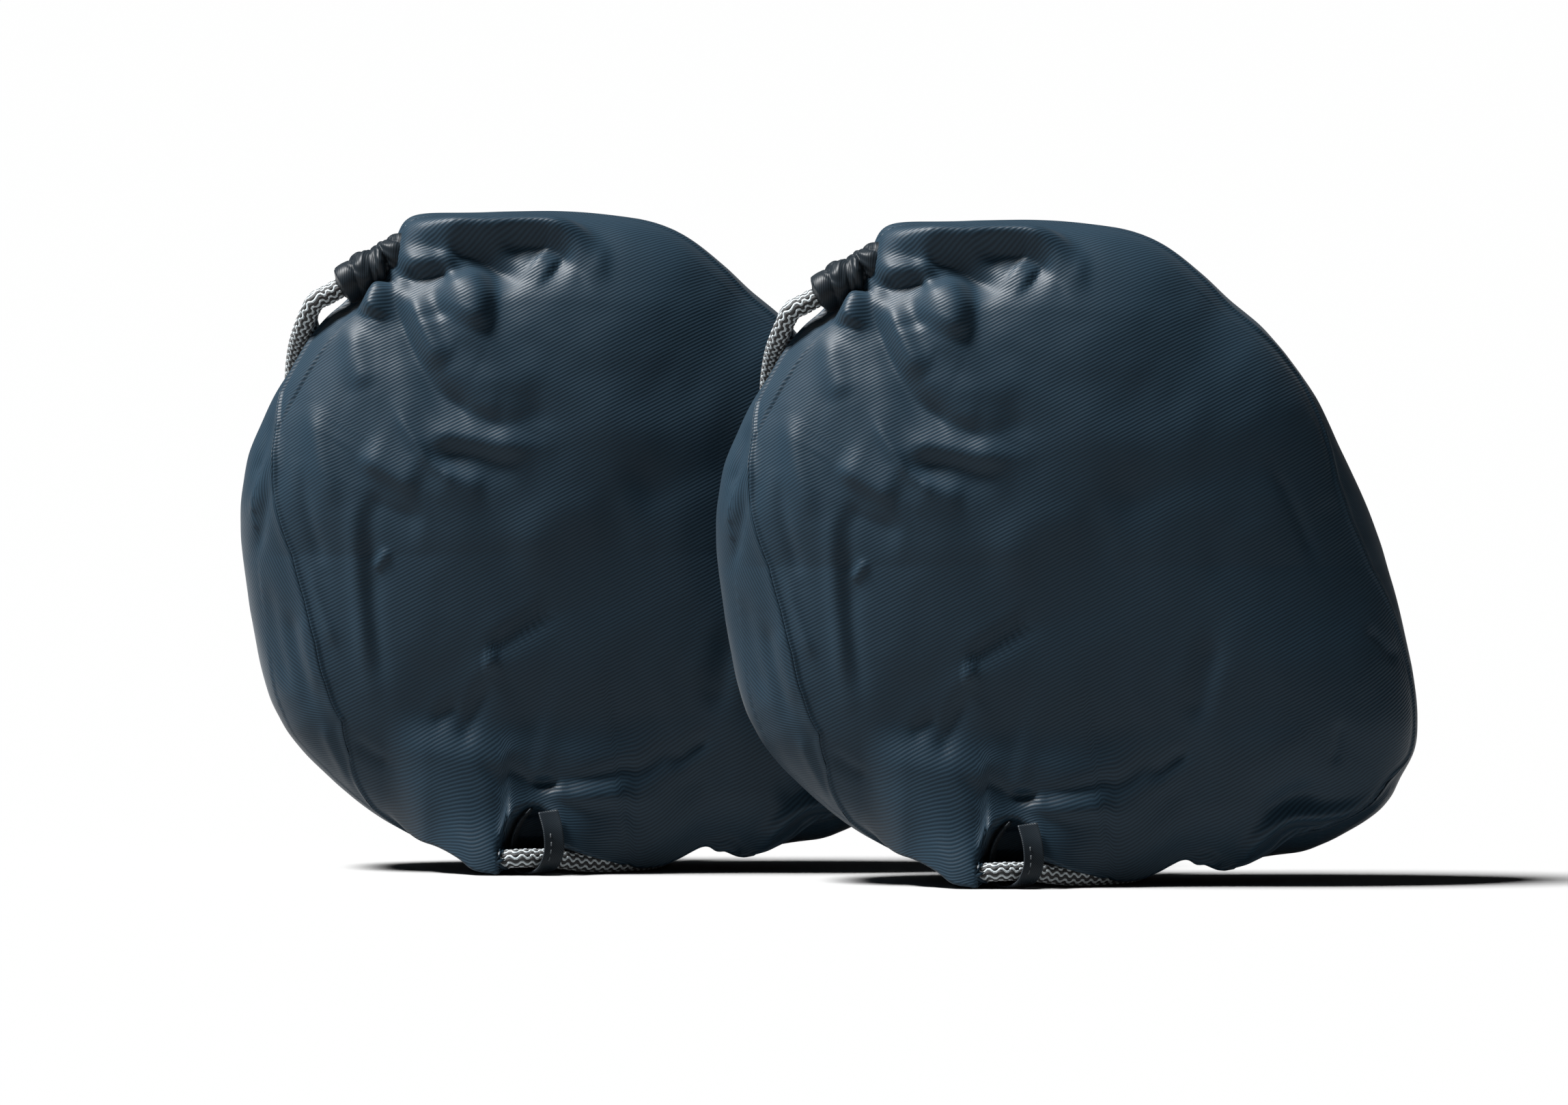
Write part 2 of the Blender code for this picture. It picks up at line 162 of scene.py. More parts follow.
# Folds pressed into the cover, as strokes across it: the (x, z) points along the fold, its half widths
# to the left and the right of that direction, its height (below zero for a valley), and the power of
# its profile (1 is a sharp crease, 2 is soft, 3 has steep sides)
FRONT_FOLDS = [
    ([(-0.119, 0.380), (-0.105, 0.388), (-0.092, 0.393), (-0.078, 0.392)], 0.0075, 0.0080, -0.0070, 2.0),
    ([(-0.033, 0.393), (-0.020, 0.383)], 0.0120, 0.0120, -0.0040, 2.0),
    ([(-0.122, 0.376), (-0.110, 0.378), (-0.097, 0.382), (-0.086, 0.386)], 0.0040, 0.0130, 0.0055, 1.6),
    ([(-0.076, 0.388), (-0.071, 0.374), (-0.071, 0.358), (-0.078, 0.344)], 0.0090, 0.0200, -0.0055, 2.0),
    ([(-0.060, 0.390), (-0.057, 0.370), (-0.058, 0.355), (-0.064, 0.338)], 0.0260, 0.0050, 0.0034, 1.6),
    ([(-0.102, 0.374), (-0.097, 0.360), (-0.094, 0.348)], 0.0090, 0.0090, 0.0030, 2.0),
    ([(-0.128, 0.376), (-0.132, 0.367), (-0.135, 0.358), (-0.136, 0.351)], 0.0070, 0.0065, -0.0085, 2.0),
    ([(-0.122, 0.378), (-0.134, 0.373), (-0.144, 0.366), (-0.153, 0.357), (-0.160, 0.346)],
     0.0050, 0.0050, 0.0040, 2.0),
    ([(-0.125, 0.374), (-0.124, 0.362), (-0.119, 0.350), (-0.113, 0.336), (-0.104, 0.320), (-0.094, 0.306),
      (-0.080, 0.297), (-0.062, 0.288), (-0.045, 0.284)], 0.0080, 0.0170, 0.0068, 1.4),
    ([(-0.112, 0.370), (-0.105, 0.350), (-0.099, 0.334), (-0.090, 0.318)], 0.0090, 0.0060, -0.0050, 2.0),
    ([(-0.149, 0.348), (-0.146, 0.325), (-0.140, 0.305)], 0.0080, 0.0080, -0.0025, 2.0),
    ([(-0.076, 0.303), (-0.066, 0.311), (-0.053, 0.313), (-0.041, 0.310), (-0.035, 0.301)],
     0.0120, 0.0080, -0.0010, 1.6),
    ([(-0.081, 0.293), (-0.067, 0.297), (-0.053, 0.296)], 0.0100, 0.0070, -0.0014, 1.8),
    ([(-0.075, 0.286), (-0.055, 0.284), (-0.035, 0.290), (-0.024, 0.300)], 0.0090, 0.0130, 0.0018, 1.6),
    ([(-0.121, 0.297), (-0.115, 0.284), (-0.106, 0.271), (-0.100, 0.262), (-0.090, 0.254), (-0.075, 0.248)],
     0.0035, 0.0035, -0.0032, 1.2),
    ([(-0.101, 0.273), (-0.088, 0.277), (-0.072, 0.275), (-0.052, 0.271), (-0.028, 0.271)],
     0.0120, 0.0050, -0.0040, 1.4),
    ([(-0.097, 0.264), (-0.080, 0.266), (-0.060, 0.262), (-0.038, 0.256)], 0.0080, 0.0130, 0.0030, 1.6),
    ([(-0.094, 0.254), (-0.080, 0.249), (-0.062, 0.246)], 0.0080, 0.0110, -0.0022, 1.8),
    ([(-0.146, 0.266), (-0.124, 0.254), (-0.104, 0.243)], 0.0180, 0.0060, -0.0046, 1.8),
    ([(-0.142, 0.240), (-0.122, 0.230), (-0.100, 0.226)], 0.0070, 0.0160, 0.0028, 1.6),
    ([(-0.147, 0.240), (-0.146, 0.200), (-0.143, 0.160), (-0.137, 0.115)], 0.0060, 0.0060, -0.0024, 2.0),
    ([(-0.138, 0.238), (-0.137, 0.200), (-0.135, 0.160), (-0.129, 0.115)], 0.0060, 0.0060, 0.0018, 2.0),
    ([(-0.135, 0.192), (-0.130, 0.199), (-0.124, 0.206)], 0.0030, 0.0030, -0.0022, 1.4),
    ([(-0.066, 0.141), (-0.045, 0.153), (-0.015, 0.171)], 0.0055, 0.0055, 0.0026, 2.0),
    ([(-0.066, 0.134), (-0.056, 0.136)], 0.0050, 0.0050, -0.0034, 2.0),
    ([(-0.081, 0.082), (-0.073, 0.100), (-0.063, 0.124)], 0.0050, 0.0050, 0.0024, 2.0),
    ([(-0.099, 0.094), (-0.081, 0.109)], 0.0050, 0.0050, 0.0018, 2.0),
    ([(0.051, 0.073), (0.078, 0.088)], 0.0050, 0.0050, 0.0028, 2.0),
    ([(0.021, 0.037), (0.050, 0.052), (0.081, 0.062)], 0.0120, 0.0120, 0.0028, 2.0),
    ([(0.078, 0.100), (0.087, 0.130), (0.093, 0.163)], 0.0100, 0.0070, 0.0024, 2.0),
    ([(0.168, 0.075), (0.173, 0.106)], 0.0035, 0.0035, 0.0015, 2.0),
    ([(-0.028, 0.0435), (-0.010, 0.046), (0.012, 0.051), (0.036, 0.057)], 0.0070, 0.0070, -0.0032, 2.0),
    ([(-0.027, 0.048), (0.005, 0.060), (0.040, 0.076), (0.060, 0.085)], 0.0060, 0.0060, 0.0022, 2.0),
    ([(-0.030, 0.047), (-0.028, 0.070), (-0.022, 0.105)], 0.0060, 0.0060, -0.0016, 2.0),
    ([(-0.034, 0.048), (-0.050, 0.062), (-0.070, 0.082)], 0.0050, 0.0050, 0.0020, 2.0),
    ([(-0.036, 0.048), (-0.026, 0.049), (-0.017, 0.048)], 0.0060, 0.0050, 0.0045, 2.0),
    ([(0.109, 0.016), (0.117, 0.035), (0.135, 0.046), (0.157, 0.047), (0.178, 0.051), (0.199, 0.060)],
     0.0045, 0.0060, -0.0070, 1.8),
    ([(0.118, 0.050), (0.140, 0.058), (0.165, 0.060)], 0.0080, 0.0060, 0.0030, 2.0),
    ([(0.128, 0.030), (0.145, 0.034), (0.158, 0.030)], 0.0070, 0.0070, 0.0030, 2.0),
    ([(0.077, 0.018), (0.087, 0.024), (0.099, 0.022)], 0.0035, 0.0035, -0.0040, 2.0),
    ([(-0.150, 0.087), (-0.137, 0.076), (-0.124, 0.069)], 0.0050, 0.0050, 0.0024, 2.0),
    ([(0.129, 0.265), (0.145, 0.235), (0.159, 0.200)], 0.0045, 0.0045, 0.0016, 2.0),
    ([(0.188, 0.163), (0.209, 0.139)], 0.0040, 0.0040, 0.0015, 2.0),
    ([(-0.176, 0.300), (-0.168, 0.262), (-0.158, 0.228)], 0.0070, 0.0070, -0.0022, 2.0),
    ([(-0.182, 0.262), (-0.176, 0.225), (-0.166, 0.190)], 0.0050, 0.0050, 0.0020, 2.0),
    ([(-0.178, 0.198), (-0.168, 0.168), (-0.158, 0.140)], 0.0040, 0.0040, -0.0018, 1.6),
    ([(0.020, 0.235), (0.060, 0.255), (0.110, 0.262)], 0.0180, 0.0180, 0.0020, 2.0),
    ([(-0.050, 0.200), (-0.020, 0.225), (0.020, 0.240)], 0.0160, 0.0160, -0.0020, 2.0),
]
# Folds over the top, as strokes along (x, y)
TOP_FOLDS = [
    ([(-0.110, -0.021), (-0.090, -0.026), (-0.070, -0.028), (-0.050, -0.029), (-0.030, -0.030),
      (-0.012, -0.035), (0.006, -0.047)], 0.0070, 0.0080, -0.0150, 2.4),
    ([(-0.118, -0.030), (-0.100, -0.038), (-0.087, -0.041), (-0.072, -0.042), (-0.056, -0.049),
      (-0.038, -0.058)], 0.0060, 0.0130, 0.0100, 1.8),
    ([(-0.060, -0.037), (-0.040, -0.039), (-0.022, -0.043), (-0.006, -0.052)], 0.0050, 0.0140, 0.0070, 1.8),
    ([(-0.130, -0.004), (-0.090, 0.000), (-0.040, 0.004), (0.030, 0.006)], 0.0260, 0.0220, -0.0100, 2.0),
]
# Folds along the strip at the left edge, as strokes along (x, z)
LEFT_STRIP_FOLDS = [
    ([(-0.196, 0.292), (-0.205, 0.268), (-0.213, 0.246)], 0.0035, 0.0035, 0.0022, 2.0),
    ([(-0.197, 0.272), (-0.206, 0.248), (-0.213, 0.222)], 0.0035, 0.0035, -0.0022, 2.0),
    ([(-0.197, 0.250), (-0.205, 0.225), (-0.210, 0.198)], 0.0035, 0.0035, 0.0020, 2.0),
    ([(-0.180, 0.165), (-0.176, 0.140), (-0.168, 0.112)], 0.0040, 0.0040, -0.0030, 1.5),
    ([(-0.190, 0.170), (-0.184, 0.138), (-0.172, 0.100)], 0.0050, 0.0050, 0.0025, 2.0),
    ([(-0.168, 0.098), (-0.158, 0.074), (-0.144, 0.050)], 0.0040, 0.0040, -0.0025, 1.6),
    ([(-0.204, 0.190), (-0.199, 0.150), (-0.188, 0.110)], 0.0050, 0.0050, 0.0018, 2.0),
]
# Pleats that run out from the mouth over the top and the back: angle in degrees and height
MOUTH = np.array((-0.128, 0.374))
BACK_PLEATS = [
    (-118, 0.0040), (-96, -0.0045), (-78, 0.0050), (-60, -0.0060), (-44, 0.0055), (-27, -0.0050),
    (-12, 0.0045), (3, -0.0045), (17, 0.0035), (34, -0.0030),
]
BACK_PLEAT_REACH = 0.150
BACK_PLEAT_WIDTH = math.radians(6.5)
# How much the pleats curve, in radians for each metre away from the mouth, and how far from it they
# point straight out
BACK_PLEAT_CURL = 1.2
BACK_PLEAT_START = 0.05
# Where each kind of fold and the calm near the top come in: the y or z where there is none of it, and
# where it is whole
FRONT_FADE = (0.004, -0.012)
STRIP_FADE_BEHIND = (0.030, 0.0)
STRIP_FADE_BEFORE = (-0.066, -0.056)
TOP_FADE = (0.362, 0.386)
BACK_FADE = (0.006, 0.050)
CALM_FADE = (0.350, 0.395)
# Slack all over the cloth: size across, height and noise seed. The back has more of it
SLACK = [(0.110, 0.0030, 1), (0.045, 0.0012, 2), (0.018, 0.00035, 3)]
SLACK_EXTRA_BEHIND = 0.8
# Tension lines that fan out from the mouth over the whole cover
TENSION_TURNS = 5.0
TENSION_LENGTH = 0.160
TENSION_HEIGHT = 0.0030
TENSION_REACH = 0.30
TENSION_SEED = 5
# Noise differs in front of and behind this y, by this much along the fan
TENSION_SPLIT_Y = -0.03
TENSION_SPLIT = 3.0
# Share of the slack and tension left out near the top
TOP_CALM = 0.85
# The folds' crests settle from this height on, and rise no further than the room above it
CREST_START = 0.400
CREST_ROOM = 0.0185
# Share of the folds' height left out where they meet the seam, and where that starts
SEAM_CALM = 0.6
SEAM_CALM_START = 0.92


def catmull(points, per_span, closed=False):
    """A smooth curve through points, per_span steps for each span."""
    knots = np.array(points, float)
    if closed:
        knots = np.vstack((knots[-1:], knots, knots[:2]))
    else:
        knots = np.vstack((2 * knots[0] - knots[1], knots, 2 * knots[-1] - knots[-2]))
    t = (np.arange(per_span) / per_span)[:, None]
    spans = []
    for i in range(1, len(knots) - 2):
        p0, p1, p2, p3 = knots[i - 1:i + 3]
        spans.append(0.5 * (
            2 * p1 + (p2 - p0) * t + (2 * p0 - 5 * p1 + 4 * p2 - p3) * t ** 2
            + (3 * p1 - p0 - 3 * p2 + p3) * t ** 3
        ))
    if not closed:
        spans.append(knots[-2:-1])
    return np.vstack(spans)


def resample(curve, spacing):
    """Points at an even spacing along a fine polyline, and its length."""
    steps = np.linalg.norm(np.diff(curve, axis=0), axis=1)
    along = np.concatenate(([0.0], np.cumsum(steps)))
    count = max(int(round(along[-1] / spacing)), 2)
    target = np.linspace(0.0, along[-1], count + 1)
    points = np.stack([np.interp(target, along, curve[:, k]) for k in range(curve.shape[1])], axis=1)
    return points, along[-1]


def smoothstep(low, high, value):
    t = np.clip((value - low) / (high - low), 0.0, 1.0)
    return t * t * (3.0 - 2.0 * t)


def unit(vectors):
    return vectors / np.linalg.norm(vectors, axis=-1, keepdims=True)


def settle_crest(z):
    """Heights with those above CREST_START pressed into the room above it."""
    above = np.maximum(z - CREST_START, 0.0)
    return z + (CREST_ROOM * np.tanh(above / CREST_ROOM) - above)


OUTLINE_CURVE = catmull(OUTLINE, 12, closed=True)
OUTLINE_ANGLE = np.unwrap(np.arctan2(OUTLINE_CURVE[:, 1] - CENTRE[2], OUTLINE_CURVE[:, 0] - CENTRE[0]))
OUTLINE_REACH = np.hypot(OUTLINE_CURVE[:, 0] - CENTRE[0], OUTLINE_CURVE[:, 1] - CENTRE[2])


def rim_reach(theta):
    """Distance from the centre to the outline in a direction."""
    order = np.argsort(np.mod(OUTLINE_ANGLE, 2 * np.pi))
    angles = np.mod(OUTLINE_ANGLE, 2 * np.pi)[order]
    return np.interp(np.mod(theta, 2 * np.pi), angles, OUTLINE_REACH[order], period=2 * np.pi)


def seam_depth(theta):
    """The seam's y, below zero in front of the cover's middle, in a direction."""
    course = np.array(SEAM_COURSE)
    return np.interp(np.degrees(theta), course[:, 0], course[:, 1], period=360.0)


def section_power(rim_z):
    return BASE_POWER + (CROWN_POWER - BASE_POWER) * np.clip(rim_z / BASE_TOP_Z, 0.0, 1.0)


def body_points(theta, rho, side):
    """Points of the smooth body. rho runs from 0 at the crown to 1 at the seam; side is -1 in front."""
    reach = rim_reach(theta)
    rim_z = CENTRE[2] + reach * np.sin(theta)
    power = section_power(rim_z)
    seam_angle = np.arcsin(seam_depth(theta) / HALF_DEPTH)
    latitude = side * np.pi / 2 * (1.0 - rho) + seam_angle * rho
    depth = np.sin(latitude)
    scale = (1.0 - np.abs(depth) ** power) ** (1.0 / power)
    x = CENTRE[0] + reach * np.cos(theta) * scale
    z = CENTRE[2] + reach * np.sin(theta) * scale
    return np.stack((x, HALF_DEPTH * depth, z), axis=-1)


def grid_normals(grid, side):
    """Outward unit normals of an (n, n, 3) grid of points."""
    normal = np.cross(np.gradient(grid, axis=0), np.gradient(grid, axis=1)) * side
    return normal / np.maximum(np.linalg.norm(normal, axis=-1, keepdims=True), 1e-12)


def stroke_height(x, z, points, left_width, right_width, height, power):
    """Height of one fold over (x, z), fading towards both ends of its stroke."""
    line = catmull(points, 5)
    best = np.full(x.shape, np.inf)
    signed = np.zeros(x.shape)
    along = np.zeros(x.shape)
    for i, (a, b) in enumerate(zip(line[:-1], line[1:])):
        step = b - a
        dx, dz = x - a[0], z - a[1]
        t = np.clip((dx * step[0] + dz * step[1]) / (step @ step), 0.0, 1.0)
        gap = np.hypot(dx - t * step[0], dz - t * step[1])
        nearer = gap < best
        best = np.where(nearer, gap, best)
        signed = np.where(nearer, step[0] * dz - step[1] * dx, signed)
        along = np.where(nearer, (i + t) / (len(line) - 1), along)
    width = np.where(signed > 0, left_width, right_width)
    fade = smoothstep(0.0, 0.28, along) * smoothstep(0.0, 0.28, 1.0 - along) * 0.85 + 0.15
    return height * fade * np.exp(-(best / width) ** power)


def noise_field(points, scale, seed):
    """Smooth noise between -1 and 1 at each point."""
    shift = Vector((seed * 7.1, seed * 3.7, seed * 5.3))
    values = [noise.noise(Vector(p) + shift) for p in points.reshape(-1, 3) / scale]
    return np.array(values).reshape(points.shape[:-1])


def pleat_height(x, z):
    """Pleats that run out from the mouth across the top and back."""
    dx, dz = x - MOUTH[0], z - MOUTH[1]
    away = np.hypot(dx, dz)
    angle = np.arctan2(dz, dx)
    height = np.zeros(x.shape)
    for degrees, size in BACK_PLEATS:
        curl = BACK_PLEAT_CURL * (away - BACK_PLEAT_START)
        turned = np.angle(np.exp(1j * (angle - math.radians(degrees) - curl)))
        height += size * np.exp(-(turned / BACK_PLEAT_WIDTH) ** 2)
    return height * smoothstep(0.0, 0.03, away) * np.exp(-(away / BACK_PLEAT_REACH) ** 2)


def tension_height(points):
    """Faint lines drawn out from the mouth, longer than they are wide."""
    dx, dz = points[..., 0] - MOUTH[0], points[..., 2] - MOUTH[1]
    away = np.hypot(dx, dz)
    angle = np.arctan2(dz, dx)
    fan = np.stack((
        TENSION_TURNS * np.cos(angle), TENSION_TURNS * np.sin(angle),
        away / TENSION_LENGTH + TENSION_SPLIT * np.sign(points[..., 1] - TENSION_SPLIT_Y),
    ), axis=-1)
    lines = TENSION_HEIGHT * noise_field(fan, 1.0, TENSION_SEED)
    return lines * smoothstep(0.02, 0.10, away) * np.exp(-away / TENSION_REACH)


def press_folds(points, normals, rho):
    """Moves the body's points along their normals to form its folds, creases and slack."""
    x, y, z = points[..., 0], points[..., 1], points[..., 2]
    height = np.zeros(x.shape)
    for stroke in FRONT_FOLDS:
        height += stroke_height(x, z, *stroke)
    height *= smoothstep(*FRONT_FADE, y)
    for stroke in LEFT_STRIP_FOLDS:
        strip = smoothstep(*STRIP_FADE_BEHIND, y) * smoothstep(*STRIP_FADE_BEFORE, y)
        height += stroke_height(x, z, *stroke) * strip
    for stroke in TOP_FOLDS:
        height += stroke_height(x, y, *stroke) * smoothstep(*TOP_FADE, z)
    height += pleat_height(x, z) * smoothstep(*BACK_FADE, y)
    calm = 1.0 - TOP_CALM * smoothstep(*CALM_FADE, z)
    height += tension_height(points) * calm
    back = smoothstep(0.0, 0.03, y)
    for scale, size, seed in SLACK:
        height += size * (1.0 + SLACK_EXTRA_BEHIND * back) * noise_field(points, scale, seed) * calm
    height *= 1.0 - SEAM_CALM * smoothstep(SEAM_CALM_START, 1.0, rho)
    groove = np.exp(-((1.0 - rho) * CENTRE[2] / SEAM_GROOVE_WIDTH) ** 2)
    return points + normals * (height - SEAM_GROOVE_DEPTH * groove)[..., None]


def hang_lip(natural, moved):
    """Lets the lower front sag forward over the drawcord, down to the lip, and tucks it back under."""
    lip = catmull(LIP, 8)
    x, z = natural[..., 0], natural[..., 2]
    depth = -natural[..., 1] / HALF_DEPTH
    low = OUTLINE_CURVE[OUTLINE_CURVE[:, 1] < BASE_HEIGHT]
    low = low[np.argsort(low[:, 0])]
    rim_z = np.interp(x, low[:, 0], low[:, 1])
    power = section_power(rim_z)
    lip_z = CENTRE[2] - (CENTRE[2] - rim_z) * (1.0 - LIP_DEPTH ** power) ** (1.0 / power)
    fall = np.clip((LIP_TOP[1] - z) / (LIP_TOP[1] - lip_z), 0.0, 1.0)
    hang = catmull(HANG, 8)
    lip_y = np.interp(x, lip[:, 0], lip[:, 1])
    upper_y = np.interp(x, hang[:, 0], hang[:, 1])
    hang_y = upper_y + (lip_y - upper_y) * smoothstep(HANG_LOW_START, 1.0, fall)
    hang_z = np.interp(x, lip[:, 0], lip[:, 2])
    level = np.clip((LIP_TOP[1] * (1.0 - fall) + hang_z * fall) / HOLLOW_TOP[1], 0.0, 1.0)
    narrowing = level ** 3
    left = HOLLOW_LEFT * (1.0 - narrowing) + HOLLOW_TOP[0] * narrowing - HOLLOW_SOFTENING * level
    right = HOLLOW_RIGHT * (1.0 - narrowing) + HOLLOW_TOP[0] * narrowing
    hollow = smoothstep(left, left + HOLLOW_EDGE + HOLLOW_SOFTENING * level, x)
    hollow *= smoothstep(right, right - HOLLOW_EDGE, x) * HOLLOW_DEPTH * smoothstep(1.0, 0.72, level)
    hang_y = hang_y + hollow
    lip_y = lip_y + hollow
    side_shift = (LIP_TOP[0] * (1.0 - fall) + hang_y * fall) - natural[..., 1]
    drop = (LIP_TOP[1] * (1.0 - fall) + hang_z * fall) - z
    inside = smoothstep(lip[0, 0], lip[0, 0] + LIP_FADE, x) * smoothstep(lip[-1, 0], lip[-1, 0] - LIP_FADE, x)
    tucked = smoothstep(LIP_END_DEPTH, LIP_DEPTH - 0.01, depth)
    before = inside * smoothstep(0.0, 0.35, fall)
    tucked_shift = lip_y + LIP_DEPTH * HALF_DEPTH
    shift_y = np.where(depth > LIP_DEPTH, before * side_shift, inside * tucked * tucked_shift)
    shift_z = np.where(depth > LIP_DEPTH, before * drop, inside * tucked * (hang_z - lip_z))
    low_part = z < LIP_TOP[1]
    moved[..., 1] += np.where(low_part, shift_y, 0.0)
    moved[..., 2] += np.where(low_part, shift_z, 0.0)
    return moved


def clear_cord(points, under):
    """Keeps the cloth off the drawcord: over it where it lies under the base, beside it elsewhere."""
    route, _ = resample(catmull(DRAWCORD_ROUTE, 12), 0.003)
    room = CORD_RADIUS + CORD_GAP
    flat = points.reshape(-1, 3)
    below = under.reshape(-1)
    for centre in route:
        away = flat - centre
        level = np.hypot(away[:, 0], away[:, 1])
        lying = below & (level < room) & (centre[2] < 0.02)
        lift = centre[2] + np.sqrt(np.maximum(room ** 2 - level ** 2, 0.0))
        flat[:, 2] = np.where(lying, np.maximum(flat[:, 2], lift), flat[:, 2])
        distance = np.linalg.norm(away, axis=1)
        near = (distance < room) & ~lying
        push = np.where(near, (room - distance) / np.maximum(distance, 1e-9), 0.0)
        flat += away * push[:, None]
    return flat.reshape(points.shape)


def meridian_lengths(side):
    """Distance over the body from the crown, for each angle and rho, as a table."""
    theta = np.linspace(-np.pi, np.pi, 181)
    rho = np.linspace(0.0, 1.0, 121) ** 1.5
    angles, spans = np.meshgrid(theta, rho, indexing="ij")
    points = body_points(angles, spans, side)
    steps = np.linalg.norm(np.diff(points, axis=1), axis=2)
    return theta, rho, np.concatenate((np.zeros((len(theta), 1)), np.cumsum(steps, axis=1)), axis=1)


def cloth_distance(theta, rho, side):
    """The distance over the body from the crown to each point, read from that table."""
    angles, spans, lengths = meridian_lengths(side)
    row = np.clip((theta - angles[0]) / (angles[1] - angles[0]), 0.0, len(angles) - 1.001)
    low = row.astype(int)
    column = np.interp(rho, spans, np.arange(len(spans)))
    left = np.minimum(column.astype(int), len(spans) - 2)
    u, v = row - low, column - left
    return (
        (1 - u) * ((1 - v) * lengths[low, left] + v * lengths[low, left + 1])
        + u * ((1 - v) * lengths[low + 1, left] + v * lengths[low + 1, left + 1])
    )


def panel_grid(side, count):
    """Grid of points of one panel, with the flat cloth coordinates of each point."""
    span = np.linspace(-1.0, 1.0, count)
    u, v = np.meshgrid(span, span, indexing="ij")
    disc_x = u * np.sqrt(1.0 - v * v / 2.0)
    disc_z = v * np.sqrt(1.0 - u * u / 2.0)
    rho = np.clip(np.hypot(disc_x, disc_z), 0.0, 1.0)
    theta = np.arctan2(disc_z, disc_x)
    points = body_points(theta, rho, side)
    distance = cloth_distance(theta, rho, side)
    cloth = np.stack((distance * np.cos(theta), distance * np.sin(theta)), axis=-1)
    return points, grid_normals(points, side), cloth, rho


def ring_faces(rows, sides, first=0, closed=False):
    """Faces between the rings of a tube, which joins up with its own start if closed."""
    faces = []
    for i in range(rows if closed else rows - 1):
        here = first + i * sides
        there = first + (i + 1) % rows * sides
        for k in range(sides):
            after = (k + 1) % sides
            faces.append((here + k, here + after, there + after, there + k))
    return faces


def grid_faces(rows, columns, flip):
    faces = []
    for i in range(rows - 1):
        for j in range(columns - 1):
            face = (i * columns + j, (i + 1) * columns + j, (i + 1) * columns + j + 1, i * columns + j + 1)
            faces.append(face[::-1] if flip else face)
    return faces


def new_mesh(name, vertices, faces, mats, cloth=None):
    mesh = bpy.data.meshes.new(name)
    mesh.from_pydata(np.asarray(vertices).reshape(-1, 3).tolist(), [], faces)
    mesh.shade_smooth()
    for mat in mats:
        mesh.materials.append(mat)
    if cloth is not None:
        layer = mesh.uv_layers.new(name="cloth")
        loops = np.zeros(len(mesh.loops), dtype=np.int32)
        mesh.loops.foreach_get("vertex_index", loops)
        layer.data.foreach_set("uv", np.asarray(cloth).reshape(-1, 2)[loops].ravel())
    return mesh


def place(name, mesh, side, body, replaces=()):
    """An object of the mesh, standing at one cover and riding on one of its bodies."""
    piece = bpy.data.objects.new(f"{side}_{name}", mesh)
    bpy.context.collection.objects.link(piece)
    piece.location = ANCHOR[side]
    bpy.context.view_layer.update()
    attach(piece, f"{side}_{body}")
    if replaces:
        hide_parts(*[f"{side}_{node}" for node in replaces])
    return piece


def thicken(piece):
    """Gives a sheet the thickness of the fabric, on its inner side."""
    solid = piece.modifiers.new("Thickness", "SOLIDIFY")
    solid.thickness = FABRIC_THICKNESS
    solid.offset = -1.0


def cover_anchor(side):
    """Where a cover's own origin stands, from its CAD back panel."""
    low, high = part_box(f"{side}_back_panel")
    return Vector((low[0] + CAD_LEFT_REACH, high[1] - HALF_DEPTH, 0.0))


ANCHOR = {side: cover_anchor(side) for side in SIDES}


# ---------------------------------------------------------------- materials

# What the twill's colour is mixed from: its ribs, the noise of its yarn and slow clouds of wear
RIB_SHARE = 0.55
YARN_SHARE = 0.25
CLOUD_SHARE = 0.20
YARN_SCALE = 900.0
CLOUD_SCALE = 14.0
YARN_RELIEF_SHARE = 0.35
TWILL_RELIEF = 0.0004
TWILL_ROUGHNESS = (0.40, 0.52)
FIBRE_SCALE = 700.0
FIBRE_RELIEF = 0.0003


def node_material(name):
    mat = bpy.data.materials.new(name)
    mat.use_nodes = True
    nodes = mat.node_tree.nodes
    return mat, nodes, mat.node_tree.links, nodes["Principled BSDF"]


def math_node(nodes, links, kind, a, b):
    node = nodes.new("ShaderNodeMath")
    node.operation = kind
    for socket, value in zip(node.inputs, (a, b)):
        if isinstance(value, (int, float)):
            socket.default_value = value
        else:
            links.new(value, socket)
    return node.outputs[0]


def noise_texture(nodes, links, scale, detail, coords):
    texture = nodes.new("ShaderNodeTexNoise")
    texture.inputs["Scale"].default_value = scale
    texture.inputs["Detail"].default_value = detail
    links.new(coords, texture.inputs["Vector"])
    return texture.outputs["Fac"]


def colour_ramp(nodes, links, mixed, dark, light, ends, shader):
    """Base colour from dark to light, as mixed goes from one of the ends to the other."""
    ramp = nodes.new("ShaderNodeValToRGB")
    for element, position, colour in zip(ramp.color_ramp.elements, ends, (dark, light)):
        element.position = position
        element.color = (*colour, 1.0)
    links.new(mixed, ramp.inputs["Fac"])
    links.new(ramp.outputs["Color"], shader.inputs["Base Color"])


def relief(nodes, links, height, strength, distance, shader):
    bump = nodes.new("ShaderNodeBump")
    bump.inputs["Strength"].default_value = strength
    bump.inputs["Distance"].default_value = distance
    links.new(height, bump.inputs["Height"])
    links.new(bump.outputs["Normal"], shader.inputs["Normal"])


